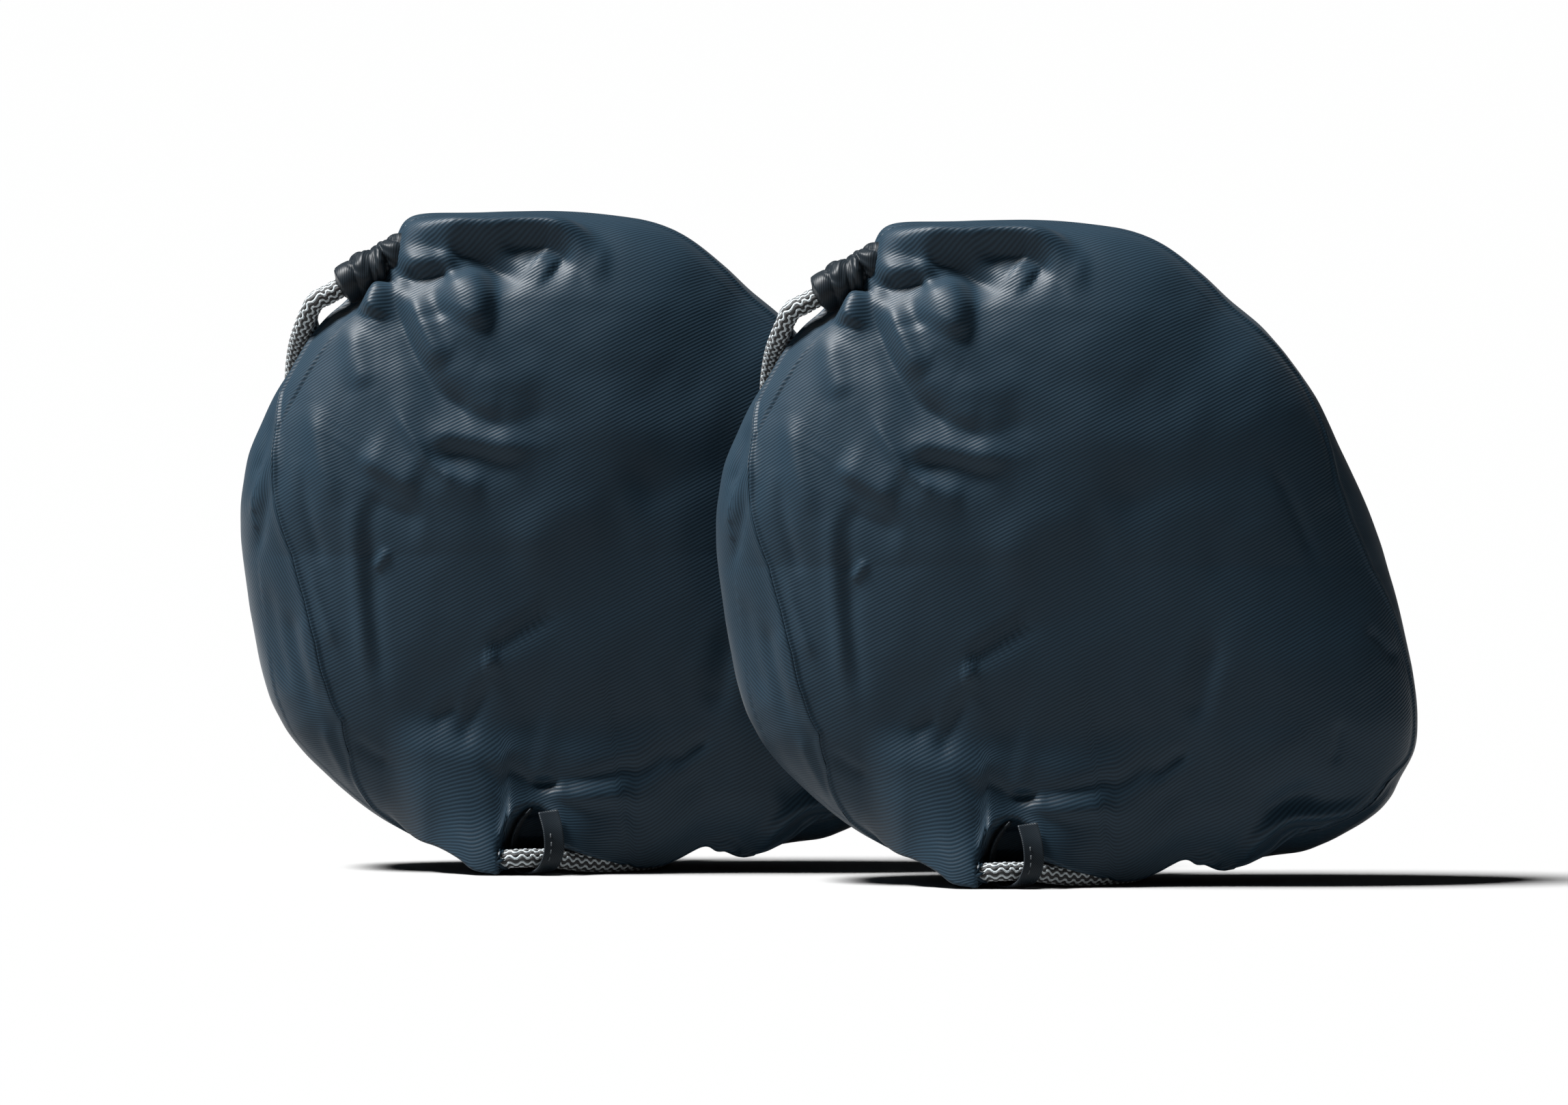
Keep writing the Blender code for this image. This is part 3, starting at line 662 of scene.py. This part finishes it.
def twill_material(name, dark, light, pitch, angle, bump):
    """Satin twill: fine slanted ribs, broken up by yarn noise, under a soft sheen."""
    mat, nodes, links, shader = node_material(name)
    coords = nodes.new("ShaderNodeUVMap")
    coords.uv_map = "cloth"
    turn = nodes.new("ShaderNodeMapping")
    turn.inputs["Rotation"].default_value = (0.0, 0.0, angle)
    links.new(coords.outputs["UV"], turn.inputs["Vector"])
    ribs = nodes.new("ShaderNodeTexWave")
    ribs.wave_type = "BANDS"
    ribs.bands_direction = "Y"
    ribs.wave_profile = "SIN"
    ribs.inputs["Scale"].default_value = 1.0 / pitch * math.pi / 10.0
    ribs.inputs["Distortion"].default_value = 0.6
    ribs.inputs["Detail"].default_value = 2.0
    ribs.inputs["Detail Scale"].default_value = 0.6
    links.new(turn.outputs["Vector"], ribs.inputs["Vector"])
    yarn = noise_texture(nodes, links, YARN_SCALE, 3.0, turn.outputs["Vector"])
    cloud = noise_texture(nodes, links, CLOUD_SCALE, 4.0, coords.outputs["UV"])
    mixed = math_node(nodes, links, "MULTIPLY", ribs.outputs["Fac"], RIB_SHARE)
    for texture, share in ((yarn, YARN_SHARE), (cloud, CLOUD_SHARE)):
        part = math_node(nodes, links, "MULTIPLY", texture, share)
        mixed = math_node(nodes, links, "ADD", mixed, part)
    colour_ramp(nodes, links, mixed, dark, light, (0.25, 0.75), shader)
    rough = nodes.new("ShaderNodeMapRange")
    rough.inputs["To Min"].default_value, rough.inputs["To Max"].default_value = TWILL_ROUGHNESS
    links.new(cloud, rough.inputs["Value"])
    links.new(rough.outputs["Result"], shader.inputs["Roughness"])
    fuzz = math_node(nodes, links, "MULTIPLY", yarn, YARN_RELIEF_SHARE)
    height = math_node(nodes, links, "ADD", ribs.outputs["Fac"], fuzz)
    relief(nodes, links, height, bump, TWILL_RELIEF, shader)
    shader.inputs["Specular IOR Level"].default_value = 0.15
    shader.inputs["Sheen Weight"].default_value = 0.04
    shader.inputs["Sheen Roughness"].default_value = 0.40
    return mat


def yarn_material(name, dark, light):
    """Spun yarn: fine fibre noise over each strand."""
    mat, nodes, links, shader = node_material(name)
    coords = nodes.new("ShaderNodeTexCoord")
    fibre = noise_texture(nodes, links, FIBRE_SCALE, 4.0, coords.outputs["Object"])
    colour_ramp(nodes, links, fibre, dark, light, (0.3, 0.7), shader)
    relief(nodes, links, fibre, 0.5, FIBRE_RELIEF, shader)
    shader.inputs["Roughness"].default_value = 0.7
    shader.inputs["Sheen Weight"].default_value = 0.2
    return mat


PANEL_PITCH = 0.0021
PANEL_DARK = (0.0066, 0.0158, 0.0252)
PANEL_LIGHT = (0.0138, 0.0308, 0.0478)
HEM_DARK = (0.0040, 0.0066, 0.0092)
HEM_LIGHT = (0.0095, 0.0150, 0.0205)
MATERIALS = {
    "front": twill_material("front_twill", PANEL_DARK, PANEL_LIGHT, PANEL_PITCH, math.radians(-27.0), 0.30),
    "back": twill_material("back_twill", PANEL_DARK, PANEL_LIGHT, PANEL_PITCH, math.radians(-74.0), 0.30),
    "hem": twill_material("hem_twill", HEM_DARK, HEM_LIGHT, 0.0016, math.radians(30.0), 0.15),
    "tape": twill_material("tape_twill", HEM_DARK, HEM_LIGHT, 0.0011, math.radians(45.0), 0.5),
    "white": yarn_material("white_yarn", (0.30, 0.34, 0.36), (0.46, 0.51, 0.53)),
    "thread": yarn_material("loop_thread", (0.0150, 0.0220, 0.0280), (0.0350, 0.0480, 0.0580)),
    "black": yarn_material("black_yarn", (0.0025, 0.0028, 0.0032), (0.0090, 0.0095, 0.0105)),
}


# ---------------------------------------------------------------- covers

def build_panel(side_sign):
    """One panel of a cover, the front one for -1 and the back one for 1."""
    points, normals, cloth, rho = panel_grid(side_sign, PANEL_GRID)
    moved = press_folds(points, normals, rho)
    if side_sign < 0:
        moved = hang_lip(points, moved)
    under = (np.abs(points[..., 1]) < LIP_DEPTH * HALF_DEPTH) & (points[..., 2] < BASE_HEIGHT)
    moved = clear_cord(moved, under)
    moved[..., 2] = settle_crest(np.maximum(moved[..., 2], FLOOR_CLEARANCE))
    faces = grid_faces(PANEL_GRID, PANEL_GRID, side_sign < 0)
    mat = MATERIALS["front" if side_sign < 0 else "back"]
    return new_mesh("panel", moved, faces, [mat], cloth)


def add_panels():
    for name, sign in (("front_panel_cloth", -1), ("back_panel_cloth", 1)):
        mesh = build_panel(sign)
        for side in SIDES:
            node = name.replace("_cloth", "")
            piece = place(name, mesh, side, "cover", [node])
            thicken(piece)


def build_seam_welt():
    """Rounded welt that stands in the groove between the two panels, all round the cover."""
    theta = np.linspace(-np.pi, np.pi, SEAM_STEPS + 1)[:-1]
    line = body_points(theta, np.ones(theta.shape), -1)
    centre = np.array((CENTRE[0], 0.0, CENTRE[2]))
    line = line - unit(line - centre) * SEAM_RADIUS * SEAM_SINK
    line = clear_cord(line[None], np.array([line[:, 2] < BASE_HEIGHT]))[0]
    line[:, 2] = settle_crest(np.maximum(line[:, 2], SEAM_RADIUS + FLOOR_CLEARANCE))
    tangents = unit(np.roll(line, -1, axis=0) - np.roll(line, 1, axis=0))
    outward = line - centre
    outward = unit(outward - tangents * np.sum(outward * tangents, axis=1, keepdims=True))
    across = np.cross(tangents, outward)
    turn = 2 * np.pi * np.arange(SEAM_SIDES) / SEAM_SIDES
    ring = outward[:, None] * np.cos(turn)[None, :, None] + across[:, None] * np.sin(turn)[None, :, None]
    points = line[:, None] + ring * SEAM_RADIUS
    rows = len(line)
    cloth = np.stack((
        np.broadcast_to(np.arange(rows)[:, None] * SEAM_CLOTH_STEP, (rows, SEAM_SIDES)),
        np.broadcast_to(turn[None, :] * SEAM_RADIUS, (rows, SEAM_SIDES)),
    ), axis=-1)
    faces = ring_faces(rows, SEAM_SIDES, closed=True)
    return new_mesh("welt", points, faces, [MATERIALS["hem"]], cloth)


def add_seams():
    mesh = build_seam_welt()
    for side in SIDES:
        place("seam_welt", mesh, side, "cover", ["seam"])


# ---------------------------------------------------------------- drawcord

BRAID_STRANDS = 16
BRAID_PITCH = 0.0060
BRAID_STEPS = 6
# How far each strand swings to either side, in strands
BRAID_SWING = 0.66
WHITE_RADIUS = 0.00098
BLACK_RADIUS = 0.00155
STRAND_SIDES = 5
CORE_SIDES = 12
ROUTE_STEPS = 40


def frames_along(points):
    """Two side vectors along a polyline, square to it and to each other, which don't twist."""
    tangents = unit(np.gradient(points, axis=0))
    sides = [unit(np.cross(tangents[0], (0.0, 1.0, 0.0)))]
    for tangent in tangents[1:]:
        sides.append(unit(sides[-1] - tangent * (sides[-1] @ tangent)))
    sides = np.array(sides)
    return sides, np.cross(tangents, sides)


def tube_mesh_parts(path, radius, sides, first):
    """Vertices and faces of a round tube with closed ends."""
    a, b = frames_along(path)
    turn = 2 * np.pi * np.arange(sides) / sides
    ring = a[:, None] * np.cos(turn)[None, :, None] + b[:, None] * np.sin(turn)[None, :, None]
    vertices = (path[:, None] + ring * np.broadcast_to(radius, (len(path),))[:, None, None]).reshape(-1, 3)
    faces = ring_faces(len(path), sides, first)
    faces.append(tuple(first + k for k in reversed(range(sides))))
    last = first + (len(path) - 1) * sides
    faces.append(tuple(last + k for k in range(sides)))
    return vertices, faces


def braid_mesh(path_points):
    """Braided cord: a black core under zigzag strands, white and black in turn round the cord."""
    path, length = resample(catmull(path_points, ROUTE_STEPS), BRAID_PITCH / BRAID_STEPS)
    path[:, 2] = np.maximum(path[:, 2], CORD_RADIUS + FLOOR_CLEARANCE)
    a, b = frames_along(path)
    steps = np.arange(len(path))
    vertices, faces, slots = [], [], []
    core, core_faces = tube_mesh_parts(path, CORD_RADIUS - BLACK_RADIUS, CORE_SIDES, 0)
    vertices.append(core)
    faces += core_faces
    slots += [1] * len(core_faces)
    total = len(core)
    for strand in range(BRAID_STRANDS):
        phase = steps / BRAID_STEPS
        swing = np.arcsin(np.sin(2 * np.pi * phase) * 0.96) / 1.29
        angle = 2 * np.pi / BRAID_STRANDS * (strand + BRAID_SWING * swing)
        radius = WHITE_RADIUS if strand % 2 else BLACK_RADIUS
        lift = CORD_RADIUS - radius * (1.0 + 0.25 * np.cos(4 * np.pi * phase))
        centre = path + (a * np.cos(angle)[:, None] + b * np.sin(angle)[:, None]) * lift[:, None]
        part, part_faces = tube_mesh_parts(centre, radius, STRAND_SIDES, total)
        vertices.append(part)
        faces += part_faces
        slots += [0 if strand % 2 else 1] * len(part_faces)
        total += len(part)
    mesh = new_mesh("braid", np.vstack(vertices), faces, [MATERIALS["white"], MATERIALS["black"]])
    mesh.polygons.foreach_set("material_index", slots)
    return mesh, path, length


def add_drawcords():
    mesh, path, length = braid_mesh(DRAWCORD_ROUTE)
    for side in SIDES:
        piece = place("drawcord_braid", mesh, side, "cover", ["drawcord"])


# ---------------------------------------------------------------- hems

HEM_STEP = 0.00035
HEM_SIDES = 64
HEM_SLEEVE_RADIUS = 0.0078
HEM_MOUTH_RADIUS = 0.0064
# Puffs of the gathered hem: place along it, half width, radius, lean along the hem and its direction
HEM_PUFFS = [
    (0.0070, 0.0100, 0.0126, 0.0004, 0.0), (0.0185, 0.0076, 0.0132, 0.0034, 0.6),
    (0.0265, 0.0034, 0.0118, 0.0044, 0.7), (0.0312, 0.0036, 0.0130, 0.0048, 0.6),
    (0.0385, 0.0064, 0.0122, 0.0026, 2.6), (0.0470, 0.0060, 0.0120, 0.0024, 2.2),
    (0.0560, 0.0056, 0.0118, 0.0026, 1.0), (0.0660, 0.0072, 0.0118, 0.0010, 3.0),
]


def hem_centre_line(sign):
    """From the hem's left end along it, and round its right end to the middle of the mouth."""
    along = unit(HEM_RIGHT - HEM_LEFT)
    across = np.array((0.0, sign, 0.0))
    straight = [HEM_LEFT + (HEM_RIGHT - HEM_LEFT) * t + across * HEM_HALF_SPREAD for t in (0.0, 0.35, 0.7)]
    turn = [
        HEM_RIGHT + (along * math.sin(angle) + across * math.cos(angle)) * HEM_HALF_SPREAD
        for angle in np.linspace(0.0, math.pi / 2, 5)
    ]
    return np.array(straight + turn)


def build_hem(sign):
    """Gathered hem: a tube of cloth bunched along the cord into puffs, with a sharp crease between."""
    path, length = resample(catmull(hem_centre_line(sign), 20), HEM_STEP)
    a, b = frames_along(path)
    s = np.linspace(0.0, length, len(path))[:, None]
    turn = (2 * np.pi * np.arange(HEM_SIDES) / HEM_SIDES)[None, :]
    radius = np.full((len(path), HEM_SIDES), HEM_SLEEVE_RADIUS)
    for k, (place_along, half_width, size, lean, towards) in enumerate(HEM_PUFFS):
        offset = s - place_along - lean * np.cos(turn - towards - sign) - 0.0006 * np.sin(3 * turn + k)
        bulge = np.clip(1.0 - np.abs(offset / half_width) ** 2.0, 0.0, None) ** 0.5
        swell = size * (1.0 + 0.05 * np.sin(2 * turn + 1.7 * k))
        radius = np.maximum(radius, HEM_SLEEVE_RADIUS + (swell - HEM_SLEEVE_RADIUS) * bulge)
    radius += 0.00030 * np.sin(7 * turn + 5.0 * np.sin(260.0 * s)) * smoothstep(0.008, 0.016, s)
    rolled = smoothstep(0.0026, 0.0, s)
    radius = radius * (1.0 - rolled) + HEM_MOUTH_RADIUS * rolled
    points = path[:, None] + (
        a[:, None] * (radius * np.cos(turn))[..., None] + b[:, None] * (radius * np.sin(turn))[..., None]
    )
    faces = ring_faces(len(path), HEM_SIDES)
    arc = np.broadcast_to(turn * HEM_SLEEVE_RADIUS, radius.shape)
    cloth = np.stack((np.broadcast_to(s * 2.0, radius.shape), arc), axis=-1)
    return new_mesh("hem", points, faces, [MATERIALS["hem"]], cloth)


def add_hems():
    for name, sign in (("front_hem_ruffle", -1), ("back_hem_ruffle", 1)):
        mesh = build_hem(sign)
        for side in SIDES:
            thicken(place(name, mesh, side, "cover", [name.replace("_ruffle", "")]))


# ---------------------------------------------------------------- tape loops

TAPE_STEPS = 10
# Section of the tape, with a raised edge on each side, in half widths and half thicknesses
TAPE_PROFILE = [
    (-1.0, 0.0), (-0.98, 0.9), (-0.86, 1.0), (-0.74, 0.72), (0.0, 0.66), (0.74, 0.72), (0.86, 1.0),
    (0.98, 0.9), (1.0, 0.0), (0.98, -0.9), (0.86, -1.0), (0.74, -0.72), (0.0, -0.66), (-0.74, -0.72),
    (-0.86, -1.0), (-0.98, -0.9),
]
TAPE_CLOTH_STEP = 0.0014
# Stitches: the steps of the tape's course where they are, their size, and their place across the tape
STITCH_ROWS = (66, 70, 74, 78)
STITCH_LENGTH = 0.0024
STITCH_RADIUS = 0.00035
STITCH_ACROSS = -0.16


def tape_course():
    """Smooth course of the tape, and the direction of its width along it."""
    return catmull([p for p, _ in TAPE_ROUTE], TAPE_STEPS), catmull([w for _, w in TAPE_ROUTE], TAPE_STEPS)


def build_tape():
    """The folded tape, as one closed band with a raised edge along each side."""
    route, widths = tape_course()
    tangents = unit(np.gradient(route, axis=0))
    widths = unit(widths - tangents * np.sum(widths * tangents, axis=1, keepdims=True))
    normals = np.cross(tangents, widths)
    half = TAPE_WIDTH / 2
    thick = TAPE_THICKNESS / 2
    rings = [route + widths * half * u + normals * thick * w for u, w in TAPE_PROFILE]
    points = np.stack(rings, axis=1)
    count = len(TAPE_PROFILE)
    faces = ring_faces(len(route), count)
    faces.append(tuple(range(count))[::-1])
    faces.append(tuple((len(route) - 1) * count + k for k in range(count)))
    cloth = np.stack((
        np.broadcast_to(np.array([u for u, _ in TAPE_PROFILE])[None, :] * half, points.shape[:2]),
        np.broadcast_to(np.arange(len(route))[:, None] * TAPE_CLOTH_STEP, points.shape[:2]),
    ), axis=-1)
    return new_mesh("tape", points, faces, [MATERIALS["tape"]], cloth)


def build_stitches():
    """Short stitches down the face of the loop's right strand."""
    route, widths = tape_course()
    vertices, faces, total = [], [], 0
    for i in STITCH_ROWS:
        along = unit(route[i + 1] - route[i - 1])
        width = unit(widths[i] - along * (widths[i] @ along))
        face = np.cross(along, width)
        centre = route[i] + width * TAPE_WIDTH * STITCH_ACROSS - face * TAPE_THICKNESS * 0.40
        arc = np.linspace(-1.0, 1.0, 5)[:, None]
        line = centre + along * arc * STITCH_LENGTH / 2 - face * STITCH_RADIUS * (1.0 - arc ** 2)
        part, part_faces = tube_mesh_parts(line, STITCH_RADIUS, 6, total)
        vertices.append(part)
        faces += part_faces
        total += len(part)
    return new_mesh("stitches", np.vstack(vertices), faces, [MATERIALS["thread"]])


def add_loops():
    tape, stitches = build_tape(), build_stitches()
    for side in SIDES:
        place("tape_loop", tape, side, "loop", ["cord_loop"])
        place("loop_stitches", stitches, side, "loop")


# ---------------------------------------------------------------- camera, light and floor

VIEW_CENTRE = Vector((-0.0258, -0.068, 0.2075))
VIEW_WIDTH = 0.990
VIEW_DISTANCE = 22.0
VIEW_ELEVATION = math.radians(2.6)
SENSOR_WIDTH = 36.0
# Strength of the world's light on the covers
WORLD_FILL = 0.015
KEY_TOWARDS = (-0.50, -0.04, 0.86)
KEY_ANGLE = math.radians(16.0)
KEY_STRENGTH = 11.5
FLOOR_REACH = 80.0
FLOOR_TONE = 0.32


def add_camera():
    data = bpy.data.cameras.new("camera")
    camera = bpy.data.objects.new("camera", data)
    bpy.context.collection.objects.link(camera)
    back = Vector((0.0, -math.cos(VIEW_ELEVATION), math.sin(VIEW_ELEVATION)))
    camera.location = VIEW_CENTRE + back * VIEW_DISTANCE
    camera.rotation_euler = (-back).to_track_quat("-Z", "Y").to_euler()
    data.sensor_width = SENSOR_WIDTH
    data.lens = SENSOR_WIDTH * VIEW_DISTANCE / VIEW_WIDTH
    bpy.context.scene.camera = camera


def add_sun(name, towards, angle, strength):
    data = bpy.data.lights.new(name, "SUN")
    data.angle = angle
    data.energy = strength
    light = bpy.data.objects.new(name, data)
    bpy.context.collection.objects.link(light)
    light.location = Vector(towards) * 3.0
    light.rotation_euler = Vector(towards).to_track_quat("Z", "Y").to_euler()


def add_world():
    """White behind everything, and only a dim fill on the covers."""
    world = bpy.data.worlds.new("studio")
    world.use_nodes = True
    nodes, links = world.node_tree.nodes, world.node_tree.links
    background = nodes["Background"]
    background.inputs["Color"].default_value = (1.0, 1.0, 1.0, 1.0)
    seen = nodes.new("ShaderNodeLightPath")
    strength = nodes.new("ShaderNodeMapRange")
    strength.inputs["To Min"].default_value = WORLD_FILL
    strength.inputs["To Max"].default_value = 1.0
    links.new(seen.outputs["Is Camera Ray"], strength.inputs["Value"])
    links.new(strength.outputs["Result"], background.inputs["Strength"])
    bpy.context.scene.world = world


def add_floor():
    corners = [(x * FLOOR_REACH, y * FLOOR_REACH, 0.0) for x, y in ((-1, -1), (1, -1), (1, 1), (-1, 1))]
    mesh = bpy.data.meshes.new("floor")
    mesh.from_pydata(corners, [], [(0, 1, 2, 3)])
    floor = bpy.data.objects.new("floor", mesh)
    bpy.context.collection.objects.link(floor)
    mat, *_, shader = node_material("pale_floor")
    shader.inputs["Base Color"].default_value = (FLOOR_TONE, FLOOR_TONE, FLOOR_TONE, 1.0)
    shader.inputs["Roughness"].default_value = 0.9
    shader.inputs["Specular IOR Level"].default_value = 0.1
    mesh.materials.append(mat)


def blacken_channel_cords():
    """The cord inside the hems keeps its CAD shape."""
    for side in SIDES:
        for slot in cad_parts[f"{side}_channel_cord"].material_slots:
            slot.material = MATERIALS["black"]


add_camera()
add_drawcords()
add_panels()
add_seams()
add_hems()
add_loops()
blacken_channel_cords()
add_world()
add_sun("key", KEY_TOWARDS, KEY_ANGLE, KEY_STRENGTH)
add_floor()

bpy.context.scene.view_settings.view_transform = "Standard"
